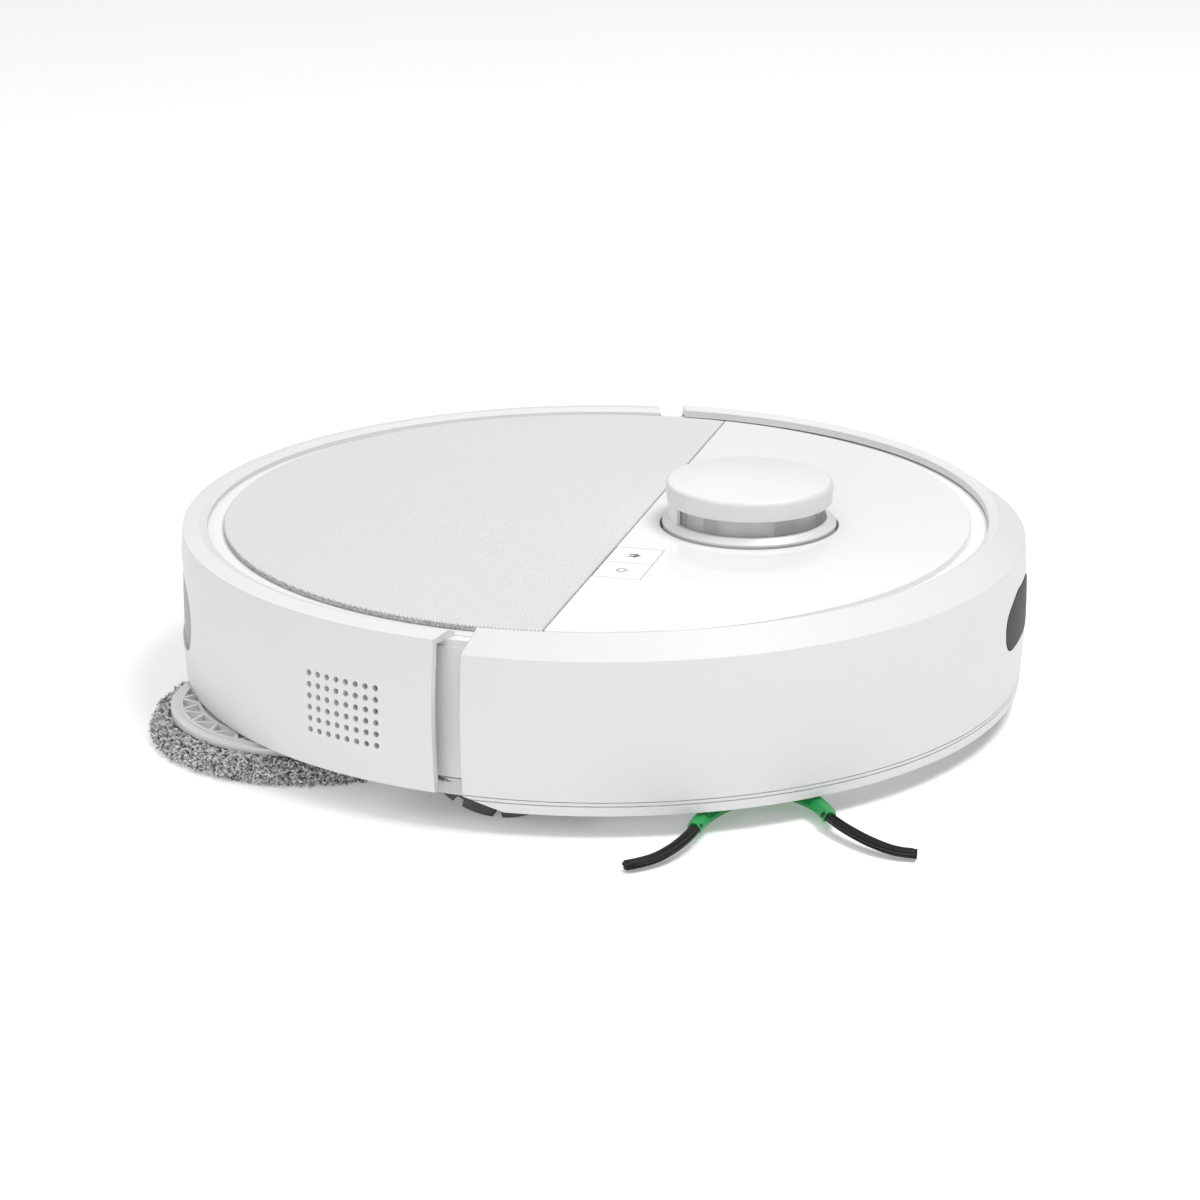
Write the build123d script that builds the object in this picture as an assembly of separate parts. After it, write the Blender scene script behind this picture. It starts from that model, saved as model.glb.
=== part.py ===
from build123d import *
from math import atan2, cos, degrees, hypot, radians, sin
import os

# Round robotic floor cleaner with a hinged rear lid, a laser turret, a side brush and two spinning mops.
# Lengths are millimetres. +X is forward, +Y is the cleaner's left, +Z is up. The origin is the centre of
# the flat underside of the round base, and the floor lies GROUND_CLEARANCE below it.

# Driving dimensions
GROUND_CLEARANCE = 9.0
FLOOR = -GROUND_CLEARANCE
WALL_BELLY_RADIUS = 176.0
WALL_BELLY_Z = 33.0
WALL_BULGE = 0.00156
WALL = 2.2
BUMPER_TOP = 61.0
BUMPER_CREST = (165.2, 69.0, -2.1)
REAR_BOTTOM = 5.0
REAR_TOP = 65.5
REAR_CREST = (165.4, 66.7, -2.9)
GAP_FRONT = -8.5
GAP_REAR = -20.0
GAP_SLANT = 0.368
CORNER_RISE = 5.0
CORNER_X = 7.5
TRIM_TOP = 5.7
BASE_RADIUS = 167.0
BASE_THICKNESS = 2.5
RING_INSIDE = 164.5
REAR_PLATE_Z = 5.5
STEP_X = -16.0
SKIRT_TOP = 8.6
DECK_TOP = 66.0
DECK_RADIUS = 154.8
DECK_SHIFT = -2.67
TOP_PLATE = (61.0, 63.5)
TOP_PLATE_RADIUS = 166.0
TOP_PLATE_SHIFT = -3.5
TRAY = (56.5, 58.5)
TRAY_RADIUS = 150.0
SEAM_X = 17.5
LID_FRONT_X = 16.8
LID_HINGE = (15.2, 62.6)
HINGE_STATIONS = (-122.0, 122.0)
TURRET_X = 62.0
WHEEL_RADIUS = 34.0
WHEEL_INNER_Y = 136.0
WHEEL_OUTER_Y = 158.0
WHEEL_Z = FLOOR + WHEEL_RADIUS
ARM_PIVOT = (44.0, 34.0)
CASTER_X = 132.0
CASTER_RADIUS = 14.0
CASTER_TRAIL = 8.0
ROLLER_X = 52.0
ROLLER_Z = 14.5
ROLLER_RADIUS = 18.0
ROLLER_HALF = 78.0
SIDE_BRUSH = (99.0, -118.0)
MOP_RADIUS = 66.5
MOP_RING_RADIUS = 58.6
LEFT_MOP = (-86.0, 70.0)
RIGHT_MOP = (-98.5, -84.5)
RIGHT_MOP_PARKED = (-86.0, -70.0)
MOP_PIVOT = (-58.2, -106.6)
BAY = (-61.5, 10.5, 80.0, 10.0)
BIN = (-58.0, 7.0, 77.0, 12.2, 59.0)
TANK_RADIUS = 142.0
TANK_FRONT_X = -66.0
TANK_Z = (47.0, 60.0)
SCREW_CIRCLE = 161.0
FRONT_SCREW_ANGLES = (-42, -10, 10, 42)
REAR_SCREW_ANGLES = (-156, -127, 127, 156)
SENSOR_ANGLES = (-70, -24, 24, 70)
SENSOR_CIRCLE = 151.0
RUNNING_CLEARANCE = 0.05
BIG = 200.0


# Shape helpers
def block(x0, x1, y0, y1, z0, z1):
    return Pos((x0 + x1) / 2, (y0 + y1) / 2, (z0 + z1) / 2) * Box(x1 - x0, y1 - y0, z1 - z0)


def disc(radius, z0, z1, x=0.0, y=0.0):
    return Pos(x, y, (z0 + z1) / 2) * Cylinder(radius, z1 - z0)


def ring(inside, outside, z0, z1, x=0.0, y=0.0):
    return disc(outside, z0, z1, x, y) - disc(inside, z0 - 1, z1 + 1, x, y)


def rod_y(radius, x, z, y0, y1):
    return Pos(x, (y0 + y1) / 2, z) * Rot(90, 0, 0) * Cylinder(radius, y1 - y0)


def rod_x(radius, y, z, x0, x1):
    return Pos((x0 + x1) / 2, y, z) * Rot(0, 90, 0) * Cylinder(radius, x1 - x0)


def prism(points, z0, z1):
    return extrude(Pos(0, 0, z0) * make_face(Polyline(*points, close=True)), z1 - z0)


def capsule(start, end, radius, z0, z1):
    length = hypot(end[0] - start[0], end[1] - start[1])
    turn = degrees(atan2(end[1] - start[1], end[0] - start[0]))
    middle = Pos((start[0] + end[0]) / 2, (start[1] + end[1]) / 2, z0)
    return extrude(middle * Rot(0, 0, turn) * SlotCenterToCenter(length, 2 * radius), z1 - z0)


def on_circle(radius, angle):
    return radius * cos(radians(angle)), radius * sin(radians(angle))


def cone_between(lower, upper):
    # Each end is (radius, z, x shift of the circle's centre).
    sections = [Pos(shift, 0, z) * Circle(radius) for radius, z, shift in (lower, upper)]
    return loft(sections, ruled=True)


# The outer wall is slightly barrel shaped.
def wall_radius(z):
    return WALL_BELLY_RADIUS - WALL_BULGE * (z - WALL_BELLY_Z) ** 2


def barrel(inset, z0, z1):
    middle = (z0 + z1) / 2
    low, mid, high = [(wall_radius(z) - inset, 0, z) for z in (z0, middle, z1)]
    wall = ThreePointArc(low, mid, high)
    outline = [Line((0, 0, z0), low), wall, Line(high, (0, 0, z1)), Line((0, 0, z1), (0, 0, z0))]
    return revolve(make_face(outline), Axis.Z)


def wall_sector(front):
    # Plan outline of the front or rear part of the outer wall, with its slanted ends.
    edge_x = GAP_FRONT if front else GAP_REAR
    far_x = BIG if front else -BIG
    near, deep = 182.0, 150.0
    wall_y = 174.5
    corners = [(edge_x + (wall_y - y) * GAP_SLANT, y) for y in (near, deep)]
    half = [(far_x, near), corners[0], corners[1]]
    return prism(half + [(x, -y) for x, y in reversed(half)], -20, 90)


def corner_cut():
    # The front wall's lower corners are cut off diagonally beside the side gaps.
    low, slope = -1.0, CORNER_RISE / (CORNER_X - GAP_FRONT)
    reach = 20.0
    points = [
        (GAP_FRONT - reach, low),
        (CORNER_X - low / slope, low),
        (GAP_FRONT - reach, CORNER_RISE + reach * slope),
    ]
    face = make_face(Polyline(*[(x, 0, z) for x, z in points], close=True))
    wedge = extrude(face, BIG, dir=(0, 1, 0), both=True)
    return wedge - disc(150, -10, 40)


def window_outline(half_width, low, high, end_round, flat_top):
    # Rounded ends that sweep up in an S to a higher flat middle.
    end_z = low + end_round
    rise = high - end_z
    right = Bezier(
        (half_width, end_z),
        (half_width, end_z + 0.62 * rise),
        (half_width - 0.32 * (half_width - flat_top), end_z + 0.66 * rise),
        (half_width - 0.55 * (half_width - flat_top), end_z + 0.82 * rise),
        (half_width - 0.78 * (half_width - flat_top), high),
        (flat_top, high),
    )
    foot = half_width - 1.25 * end_round
    corner = Bezier((foot, low), (half_width - 0.35 * end_round, low), (half_width, low + 0.4 * end_round),
                    (half_width, end_z))
    half = [Line((0, low), (foot, low)), corner, right, Line((flat_top, high), (0, high))]
    edges = Curve() + half
    return make_face(edges + mirror(edges, Plane.YZ))


def wall_window(outline, front):
    # Extrudes an outline drawn as (y, z) through the front or the rear wall.
    x_dir = (0, 1, 0) if front else (0, -1, 0)
    start = 100 if front else -100
    plane = Plane(origin=(start, 0, 0), x_dir=x_dir, z_dir=(1 if front else -1, 0, 0))
    return extrude(plane * outline, 90)


FRONT_WINDOW = (29.0, 27.0, 50.0, 10.0, 9.0)
REAR_WINDOW = (98.0, 19.5, 57.0, 16.0, 66.0)
WINDOW_GAP = 0.25


def shrunk(sizes, gap):
    half_width, low, high, end_round, flat_top = sizes
    return half_width - gap, low + gap, high - gap, end_round, flat_top


# Bumper
def bumper_solid():
    crest_radius, crest_z, shift = BUMPER_CREST
    lip_z = 64.3
    lip_inside = 161.6
    outer = barrel(0, 0, BUMPER_TOP)
    outer += cone_between((wall_radius(BUMPER_TOP), BUMPER_TOP, 0), BUMPER_CREST)
    hollow = barrel(WALL, -1, BUMPER_TOP)
    hollow += cone_between((wall_radius(BUMPER_TOP) - WALL, BUMPER_TOP, 0), (168.0, lip_z, shift / 2))
    middle = disc(lip_inside, 50, 67.3, shift)
    middle += cone_between((lip_inside, 67.3, shift), (crest_radius - 0.4, crest_z + 0.01, shift))
    return (outer - hollow - middle) & wall_sector(True)


def bumper_shell():
    shell = bumper_solid() & block(-BIG, BIG, -BIG, BIG, TRIM_TOP, 90)
    return shell - corner_cut() - wall_window(window_outline(*FRONT_WINDOW), True)


def bumper_trim():
    groove_depth = 0.5
    grooves = [
        barrel(-1, z0, z1) - barrel(groove_depth, z0 - 1, z1 + 1)
        for z0, z1 in ((3.8, 4.15), (TRIM_TOP - 0.3, TRIM_TOP + 0.3))
    ]
    trim = bumper_solid() & block(-BIG, BIG, -BIG, BIG, -1, TRIM_TOP)
    return trim - grooves[0] - grooves[1] - corner_cut()


def front_window():
    wall = barrel(-0.15, 20, 56) - barrel(WALL - 0.2, 19, 57)
    return wall & wall_window(window_outline(*shrunk(FRONT_WINDOW, WINDOW_GAP)), True)


def coil_spring(radius, wire, height, turns):
    path = Helix(pitch=height / turns, height=height, radius=radius)
    section = Plane(origin=path @ 0, z_dir=path % 0) * Circle(wire)
    return sweep(section, path)


def bumper_springs():
    wire, coil, z, y = 0.4, 2.6, 16.0, 60.0
    start = (BASE_RADIUS ** 2 - y ** 2) ** 0.5 + 1.2
    length = 4.4
    spring = coil_spring(coil, wire, length, 3)
    return Part() + [Pos(start, side * y, z) * Rot(0, 90, 0) * spring for side in (-1, 1)]


# Rear shell
GRILLE_COLUMNS = 8
GRILLE_ROWS = 6
GRILLE_CENTRE = -109.55
GRILLE_PITCH_ANGLE = 1.49
GRILLE_TOP = 43.3
GRILLE_PITCH = 4.6
GRILLE_HOLE_RADIUS = 1.15


def grille_holes():
    holes = []
    for column in range(GRILLE_COLUMNS):
        angle = GRILLE_CENTRE + (column - (GRILLE_COLUMNS - 1) / 2) * GRILLE_PITCH_ANGLE
        for row in range(GRILLE_ROWS):
            z = GRILLE_TOP - row * GRILLE_PITCH
            holes.append(Rot(0, 0, angle) * rod_x(GRILLE_HOLE_RADIUS, 0, z, 168, 180))
    return holes


def rear_shell():
    crest_radius, crest_z, shift = REAR_CREST
    wall = 2.4
    lip_inside = 161.4
    outer = barrel(0, REAR_BOTTOM, REAR_TOP)
    outer += cone_between((wall_radius(REAR_TOP), REAR_TOP, 0), REAR_CREST)
    hollow = barrel(wall, REAR_BOTTOM - 1, TOP_PLATE[1])
    middle = disc(lip_inside, 50, 65.4, shift)
    middle += cone_between((lip_inside, 65.4, shift), (crest_radius - 0.4, crest_z + 0.01, shift))
    shell = (outer - hollow - middle) & wall_sector(False)
    shell -= wall_window(window_outline(*REAR_WINDOW), False)
    return shell - grille_holes()


def rear_window():
    recess, thickness = 1.0, 1.4
    wall = barrel(recess, 10, 64) - barrel(recess + thickness, 9, 65)
    return wall & wall_window(window_outline(*shrunk(REAR_WINDOW, 0.05)), False)


# Base and chassis
def wheel_wells():
    wells = []
    for side in (-1, 1):
        for x0, x1, y0, y1 in ((-38, 38, 134, 160), (-26, 58, 110, 135)):
            low, high = sorted((side * y0, side * y1))
            wells.append(block(x0, x1, low, high, -1, 30))
    return wells


def pivot_ears():
    # Ears beside each wheel well that carry the drive module's pivot pin.
    ears = Part()
    for side in (-1, 1):
        for y0, y1 in ((105.0, 111.5), (134.6, 139.6)):
            low, high = sorted((side * y0, side * y1))
            ears += block(40.4, 49, low, high, 0.5, ARM_PIVOT[1]) + rod_y(5, *ARM_PIVOT, low, high)
        ears -= rod_y(3 + RUNNING_CLEARANCE, *ARM_PIVOT, *sorted((side * 100, side * 145)))
    return ears


def sensor_windows(grow=0.0):
    window = block(-3.5 - grow, 3.5 + grow, -7 - grow, 7 + grow, -grow, 2.4 + grow)
    return [Rot(0, 0, angle) * Pos(SENSOR_CIRCLE, 0, 0) * window for angle in SENSOR_ANGLES]


def contact_pads(grow=0.0):
    return [
        block(142.5 - grow, 149.5 + grow, y - 7 - grow, y + 7 + grow, -grow, 2.4 + grow)
        for y in (-40, 40)
    ]


SCREWS = [(on_circle(SCREW_CIRCLE, a), 0.0) for a in FRONT_SCREW_ANGLES]
SCREWS += [(on_circle(SCREW_CIRCLE, a), REAR_PLATE_Z) for a in REAR_SCREW_ANGLES]


def screw_shape(x, y, z, grow):
    head = disc(3.0 + grow, z + 0.3 - 2 * grow, z + 1.7, x, y)
    return head + disc(1.5 + grow, z + 1.6, z + 13, x, y)



def base_plates():
    rear_top = REAR_PLATE_Z + BASE_THICKNESS
    step_end = STEP_X + BASE_THICKNESS
    front = disc(BASE_RADIUS, 0, BASE_THICKNESS) & block(STEP_X, BIG, -BIG, BIG, -1, 90)
    rear = disc(BASE_RADIUS, REAR_PLATE_Z, rear_top) & block(-BIG, step_end, -BIG, BIG, -1, 90)
    rear += disc(172.2, REAR_PLATE_Z, rear_top) & wall_sector(False)
    step = block(STEP_X, step_end, -BIG, BIG, 0, rear_top) & disc(BASE_RADIUS, -1, 20)
    skirt = ring(RING_INSIDE, BASE_RADIUS, 0.5, SKIRT_TOP) - block(-BIG, STEP_X, -BIG, BIG, -1, REAR_PLATE_Z)
    return front + rear + step + skirt


def base_shell():
    caster_tube, caster_cap = 25.5, (22.8, 26.0)
    battery_x, battery_y = (89.0, 129.0), (27.0, 99.0)
    base = base_plates()
    base -= block(33, 71, -79.5, 79.5, -1, 10)
    tray = block(battery_x[0] - 1.5, battery_x[1] + 1.5, battery_y[0] - 1.5, battery_y[1] + 1.5, 1, 20)
    base += tray & disc(RING_INSIDE - 0.1, 0, 30)
    base += disc(caster_tube, 1, caster_cap[1], CASTER_X) & disc(RING_INSIDE + 0.5, -1, 40)
    base += disc(8, caster_cap[0], 33, CASTER_X)
    base += disc(4, 6, 24, *MOP_PIVOT)
    base += pivot_ears()
    base -= block(*battery_x, *battery_y, -1, 30)
    base -= disc(caster_tube - 2, -1, caster_cap[0], CASTER_X)
    base -= disc(4 + RUNNING_CLEARANCE, 10, 40, CASTER_X)
    base -= disc(3.6, -1, 10, *SIDE_BRUSH)
    base -= disc(9, -1, 20, *LEFT_MOP)
    base -= capsule(RIGHT_MOP_PARKED, RIGHT_MOP, 9.5, -1, 20)
    for cutter in wheel_wells() + sensor_windows(0.1) + contact_pads(0.1):
        base -= cutter
    for (x, y), z in SCREWS:
        base -= screw_shape(x, y, z - 1, 0.15) + screw_shape(x, y, z, 0.15)
    base -= corner_cut() + block(-BIG, STEP_X, -BIG, BIG, -1, REAR_PLATE_Z)
    gap_wall = ring(RING_INSIDE, BASE_RADIUS - 0.05, 2.0, 7.0) & block(GAP_REAR - 4, 0, -BIG, BIG, 0, 20)
    return base + gap_wall


def charge_contacts():
    return Part() + contact_pads()


def cliff_windows():
    return Part() + sensor_windows()


def case_screws():
    return Part() + [screw_shape(x, y, z, 0.0) for (x, y), z in SCREWS]


def speaker_place(radius):
    return Rot(0, 0, GRILLE_CENTRE) * Pos(radius, 0, GRILLE_TOP - GRILLE_PITCH * (GRILLE_ROWS - 1) / 2)


def chassis_frame():
    frame = ring(RING_INSIDE, BASE_RADIUS, SKIRT_TOP, TOP_PLATE[0])
    frame -= ring(BASE_RADIUS - 1.5, BASE_RADIUS + 1, SKIRT_TOP - 1, SKIRT_TOP + 0.35)
    inner = disc(RING_INSIDE + 0.5, -1, 40)
    for (x, y), z in SCREWS:
        boss = disc(4, z + BASE_THICKNESS, z + 20, x, y) & inner
        boss -= ring(RING_INSIDE - 0.1, 180, -1, SKIRT_TOP)
        frame += boss
    for (x, y), z in SCREWS:
        frame -= disc(1.5 + RUNNING_CLEARANCE, -1, z + 13.2, x, y)
    frame -= block(150, 175, -27, 27, 27, 50)
    return frame - speaker_place(BASE_RADIUS) * Box(12, 42, 28)


def bin_bay():
    x0, x1, half, z0 = BAY
    wall = 2.0
    bay = block(x0, x1, -half, half, z0, TRAY[0])
    bay -= block(x0 + wall, x1 - wall, -half + wall, half - wall, z0 + wall, TRAY[0] + 1)
    for x in (x0 + 12, x1 - 16):
        for y in (-50, 50):
            foot_z = REAR_PLATE_Z if x < STEP_X else 0.0
            bay += disc(4, foot_z + BASE_THICKNESS, z0 + 1, x, y)
    bay -= block(x1 - wall - 1, x1 + 1, -28, 28, 22, 32)
    return bay - block(x1 - wall - 1, x1 + 1, 40, 72, 38, 54)


def top_frame():
    z0, z1 = TOP_PLATE
    frame = disc(TOP_PLATE_RADIUS, z0, z1, TOP_PLATE_SHIFT)
    rear = block(-BIG, SEAM_X + 1.5, -BIG, BIG, TRAY[0], 90)
    frame -= disc(TRAY_RADIUS - 2, z0 - 1, z1 + 1) & rear
    frame += ring(TRAY_RADIUS - 2, TRAY_RADIUS, TRAY[0], z1) & rear
    frame += disc(TRAY_RADIUS, *TRAY) & rear
    front_wall = block(SEAM_X + 1.5, SEAM_X + 3.5, -BIG, BIG, TRAY[0], z1)
    frame += front_wall & disc(TRAY_RADIUS, 0, 90)
    for side in (-1, 1):
        # Arches over the wheels.
        arch = block(-16, 16, *sorted((side * 133.5, side * 150)), TRAY[0], 60.9)
        frame += arch & disc(TRAY_RADIUS, 0, 90)
        frame -= rod_y(WHEEL_RADIUS + 1, 0, WHEEL_Z, *sorted((side * 134.5, side * 160)))
    frame -= block(LID_HINGE[0] - 4, SEAM_X + 1.5, -155.5, 155.5, 59, z1 + 1)
    x0, x1, half = BIN[:3]
    frame -= block(x0 - 0.6, x1 + 0.6, -half - 0.6, half + 0.6, 50, 60)
    frame -= tank_outline(0.6, 50, 60)
    frame -= disc(37, z0 - 1, z1 + 1, TURRET_X)
    for x, y in KEY_STEMS:
        frame -= disc(2.9, z0 - 1, z1 + 1, x, y)
    gap_slot = ring(160.6, 161.4, z1 - 0.8, z1 + 1) & block(-16, -4, -BIG, BIG, 60, 70)
    return frame - gap_slot


# Deck, keys and lid
KEY_BLOCK_FRONT = 37.4
KEY_EDGES = (-85.0, -65.15, -45.5)
KEY_GAP = 0.3
KEY_STEMS = [(27.3, -55.3), (27.3, -75.1)]


def behind(profile):
    # The lower part of the seam's front side is bevelled to let the lid's edge swing past.
    face = make_face(Polyline(*[(x, 0, z) for x, z in profile], close=True))
    return extrude(face, BIG, dir=(0, 1, 0), both=True)


def seam_bevel():
    top = DECK_TOP - 0.3
    return behind([(SEAM_X - 1, top), (SEAM_X, top), (SEAM_X + 1.5, 63.5), (SEAM_X + 1.5, 60), (SEAM_X - 1, 60)])


def key_bevel():
    # Deeper than the seam's, so that a pressed key clears the open lid as well.
    slope = [(SEAM_X + 0.1, DECK_TOP), (SEAM_X + 0.8, DECK_TOP - 0.7), (SEAM_X + 2.1, 63.3)]
    return behind([(SEAM_X - 1, 67), (SEAM_X + 0.1, 67), *slope, (SEAM_X - 1, 60)])


def deck_panel():
    panel = disc(DECK_RADIUS, TOP_PLATE[1], DECK_TOP, DECK_SHIFT) & block(SEAM_X, BIG, -BIG, BIG, 0, 90)
    edge = panel.edges().filter_by(GeomType.CIRCLE).group_by(Axis.Z)[-1]
    panel = chamfer(edge, 0.35)
    panel -= disc(36.9, 50, 70, TURRET_X)
    panel -= block(0, KEY_BLOCK_FRONT, KEY_EDGES[0] - KEY_GAP / 2, KEY_EDGES[2] + KEY_GAP / 2, 50, 70)
    return panel - seam_bevel()


def key(index):
    low, high = sorted((KEY_EDGES[index + 1], KEY_EDGES[index]))
    x, y = KEY_STEMS[1 - index]
    cap = block(SEAM_X, KEY_BLOCK_FRONT - KEY_GAP, low + KEY_GAP / 2, high - KEY_GAP / 2, 64.6, DECK_TOP)
    return cap - key_bevel() + disc(2.5, 57.5, 65, x, y)


def key_switches():
    x0, x1, y0, y1 = 20.0, 36.5, -84.0, -46.0
    board = block(x0, x1, y0, y1, 48.5, 50)
    for x, y in KEY_STEMS:
        board += block(x - 3.5, x + 3.5, y - 3.5, y + 3.5, 50, 55) + disc(1.8, 55, 56.5, x, y)
    for x, y in ((34.5, -48.5), (34.5, -81.5)):
        board += disc(1.5, 49, TOP_PLATE[0], x, y)
    return board


def lid_outline(radius, z0, z1, front_x):
    return disc(radius, z0, z1, DECK_SHIFT) & block(-BIG, front_x, -BIG, BIG, 0, 90)


def hinge_spans():
    # Along each hinge: the lid's knuckles lie on both sides of the bracket.
    for station in HINGE_STATIONS:
        yield station - 4, station + 4, [(station - 9.6, station - 4.4), (station + 4.4, station + 9.6)]


def lid_plate():
    x, z = LID_HINGE
    plate = lid_outline(DECK_RADIUS, 64.3, 65.4, LID_FRONT_X)
    rim = ring(DECK_RADIUS - 3, DECK_RADIUS, 63.8, 64.4, DECK_SHIFT)
    plate += rim & block(-BIG, 10, -BIG, BIG, 0, 90)
    for _, _, knuckles in hinge_spans():
        for y0, y1 in knuckles:
            plate += rod_y(1.4, x, z, y0, y1) + block(x - 1.4, x + 1.4, y0, y1, z, 64.5)
            plate -= rod_y(0.7 + RUNNING_CLEARANCE, x, z, y0 - 1, y1 + 1)
    return plate


def lid_inlay():
    inlay = lid_outline(DECK_RADIUS, 65.4, DECK_TOP, LID_FRONT_X)
    top_edges = inlay.edges().group_by(Axis.Z)[-1]
    return chamfer(top_edges, 0.4)


def lid_hinges():
    # Two brackets standing on the tray, each with the pin it holds.
    x, z = LID_HINGE
    hinges = Part()
    for y0, y1, knuckles in hinge_spans():
        hinges += block(x - 1.4, x + 1.4, y0, y1, TRAY[1], z) + rod_y(1.4, x, z, y0, y1)
        hinges += block(x - 5, x + 2, y0, y1, TRAY[1], TRAY[1] + 0.5)
        hinges += rod_y(0.7, x, z, knuckles[0][0], knuckles[1][1])
    return hinges


# Dust bin and water tank
def dust_bin():
    x0, x1, half, z0, z1 = BIN
    wall = 2.0
    body = block(x0, x1, -half, half, z0, z1)
    body -= block(x0 + wall, x1 - wall, -half + wall, half - wall, z0 + wall, z1 + 1)
    body -= block(x1 - wall - 1, x1 + 1, -27, 27, 22.5, 31.5)
    return body - block(x1 - wall - 1, x1 + 1, 41, 71, 39, 53)


def bin_cover():
    x0, x1, half, _, z1 = BIN
    cover = block(x0, x1, -half, half, z1, z1 + 2.4)
    cover -= block(x0 + 12, x0 + 36, -22, 22, z1 + 1.2, z1 + 5)
    return cover + block(x0 + 22, x0 + 25, -22, 22, z1 + 1, z1 + 2.4)


def bin_filter():
    x1 = BIN[1] - 2.0
    body = block(x1 - 8, x1, 38, 74, 36, 56)
    pleats = [block(x1 - 9, x1 - 5, y, y + 1.5, 38, 54) for y in range(41, 71, 3)]
    return body - pleats


def tank_outline(grow, z0, z1):
    return disc(TANK_RADIUS + grow, z0, z1) & block(-BIG, TANK_FRONT_X + grow, -BIG, BIG, 0, 90)


def water_tank():
    z0, z1 = TANK_Z
    wall = 1.8
    body = tank_outline(0, z0, z1)
    return body - tank_outline(-wall, z0 + wall, z1 + 1)


def tank_cover():
    z1 = TANK_Z[1]
    cover = tank_outline(0, z1, z1 + 1.5)
    cover -= block(-100, -88, -20, 20, z1 + 0.7, z1 + 2)
    return cover + disc(9, z1, z1 + 2.6, -118, 30)


# Suction path and fan
def suction_duct():
    start, end = BAY[1], ROLLER_X - 22
    return block(start, end, -31, 31, 19.5, 34.5) - block(start - 1, end + 1, -28, 28, 22, 32)


FAN = (70.0, 84.0)


def fan_housing():
    x, y = FAN
    housing = disc(27, 43, 59.5, x, y) - disc(25.5, 44.5, 58, x, y)
    outlet = block(x - 4, x + 22, y, y + 32, 47, 57) & disc(36, 40, 60, x, y)
    housing += outlet - disc(26, 40, 60, x, y)
    housing -= block(x - 2, x + 20, y + 10, y + 40, 48.5, 55.5)
    motor = disc(9, 53, 59, x, y) + disc(1.5, 46, 54, x, y)
    return housing - disc(9, 42, 45, x, y) + motor


def fan_impeller():
    x, y = FAN
    blade_count = 9
    wheel = disc(22, 46, 47.2, x, y) + disc(4, 46, 51.5, x, y)
    blade = Rot(0, 0, 24) * block(9, 20, -0.5, 0.5, 47, 51.5)
    for i in range(blade_count):
        wheel += Pos(x, y, 0) * Rot(0, 0, i * 360 / blade_count) * Pos(2, -4, 0) * blade
    return wheel - disc(1.5 + RUNNING_CLEARANCE, 40, 60, x, y)


# Electronics
def battery_pack():
    pack = block(90, 128, 28, 98, BASE_THICKNESS + 0.3, 41)
    long_edges = pack.edges().filter_by(Axis.Y)
    return fillet(long_edges, 6)


def battery_cover():
    cover = block(89.3, 128.7, 27.3, 98.7, 0, BASE_THICKNESS - 0.2)
    return cover - [block(95, 123, y, y + 1.2, -1, 0.5) for y in range(34, 46, 3)]


def main_board():
    board = block(107, 150, -66, 60, 46, 47.6)
    parts = [block(118, 132, -20, -6, 47, 49.2), block(112, 124, 10, 30, 47, 50)]
    parts.append(block(134, 142, -50, -30, 47, 53))
    parts += [disc(4, 47, 56, 140, y) for y in (14, 26, 38)]
    for part in parts:
        board += part
    return board


def circuit_boards():
    # The main board, and an upright board with the three sensors behind the front window.
    upright = block(150.5, 152, -25, 25, 29, 49)
    for y, radius in ((-15, 4), (0, 5.5), (15, 4)):
        upright += rod_x(radius, y, 39, 151, 158)
    return Part() + [main_board(), upright]


def speaker():
    cone = Rot(0, 0, GRILLE_CENTRE) * Pos(0, 0, GRILLE_TOP - GRILLE_PITCH * (GRILLE_ROWS - 1) / 2)
    body = rod_x(13, 0, 0, 157, 162) + rod_x(7, 0, 0, 150, 158)
    return cone * (body - rod_x(10.5, 0, 0, 160.5, 170))


# Laser turret
TURRET_DISH_FLOOR = 44.0
SPRING_ANGLES = (60, 180, 300)
BELT_OFFSET = 25.0
BELT_RADII = (14.3, 4.3)
PILLAR_ANGLES = (-152, 152)


def lidar_base():
    dish = ring(36.0, 40.5, 58, TOP_PLATE[0], TURRET_X) + ring(36, 38, TURRET_DISH_FLOOR, 59, TURRET_X)
    dish += disc(37, TURRET_DISH_FLOOR, TURRET_DISH_FLOOR + 2, TURRET_X)
    dish += disc(6, TURRET_DISH_FLOOR, 57, TURRET_X)
    motor_x = TURRET_X + BELT_OFFSET
    dish += disc(8, 36, TURRET_DISH_FLOOR + 1, motor_x)
    dish -= disc(1 + RUNNING_CLEARANCE, 39, 60, motor_x)
    return dish - block(TURRET_X + 30, TURRET_X + 60, -50, -44, 40, 62)


def lidar_belt():
    motor_x = TURRET_X + BELT_OFFSET
    thickness = 0.8

    def loop(grow, z0, z1):
        big, small = BELT_RADII[0] + grow, BELT_RADII[1] + grow
        lean = (big - small) / BELT_OFFSET
        rise = (1 - lean ** 2) ** 0.5
        web = [
            (TURRET_X + big * lean, big * rise),
            (motor_x + small * lean, small * rise),
            (motor_x + small * lean, -small * rise),
            (TURRET_X + big * lean, -big * rise),
        ]
        return disc(big, z0, z1, TURRET_X) + disc(small, z0, z1, motor_x) + prism(web, z0, z1)

    return loop(thickness, 50.5, 53.5) - loop(0, 50, 54)


def lidar_pulley():
    motor_x = TURRET_X + BELT_OFFSET
    return disc(4, 49.5, 54.5, motor_x) + disc(1, 39.5, 50, motor_x)


LENS_FACING = -77.8
LENS_OFFSETS = ((-34.0, 4.0), (34.0, 5.6))
LENS_Z = 71.0


def lens_rods(extra, start, end):
    rods = []
    for offset, radius in LENS_OFFSETS:
        rods.append(Pos(TURRET_X, 0, 0) * Rot(0, 0, LENS_FACING + offset)
                    * rod_x(radius + extra, 0, LENS_Z, start, end))
    return rods


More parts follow.
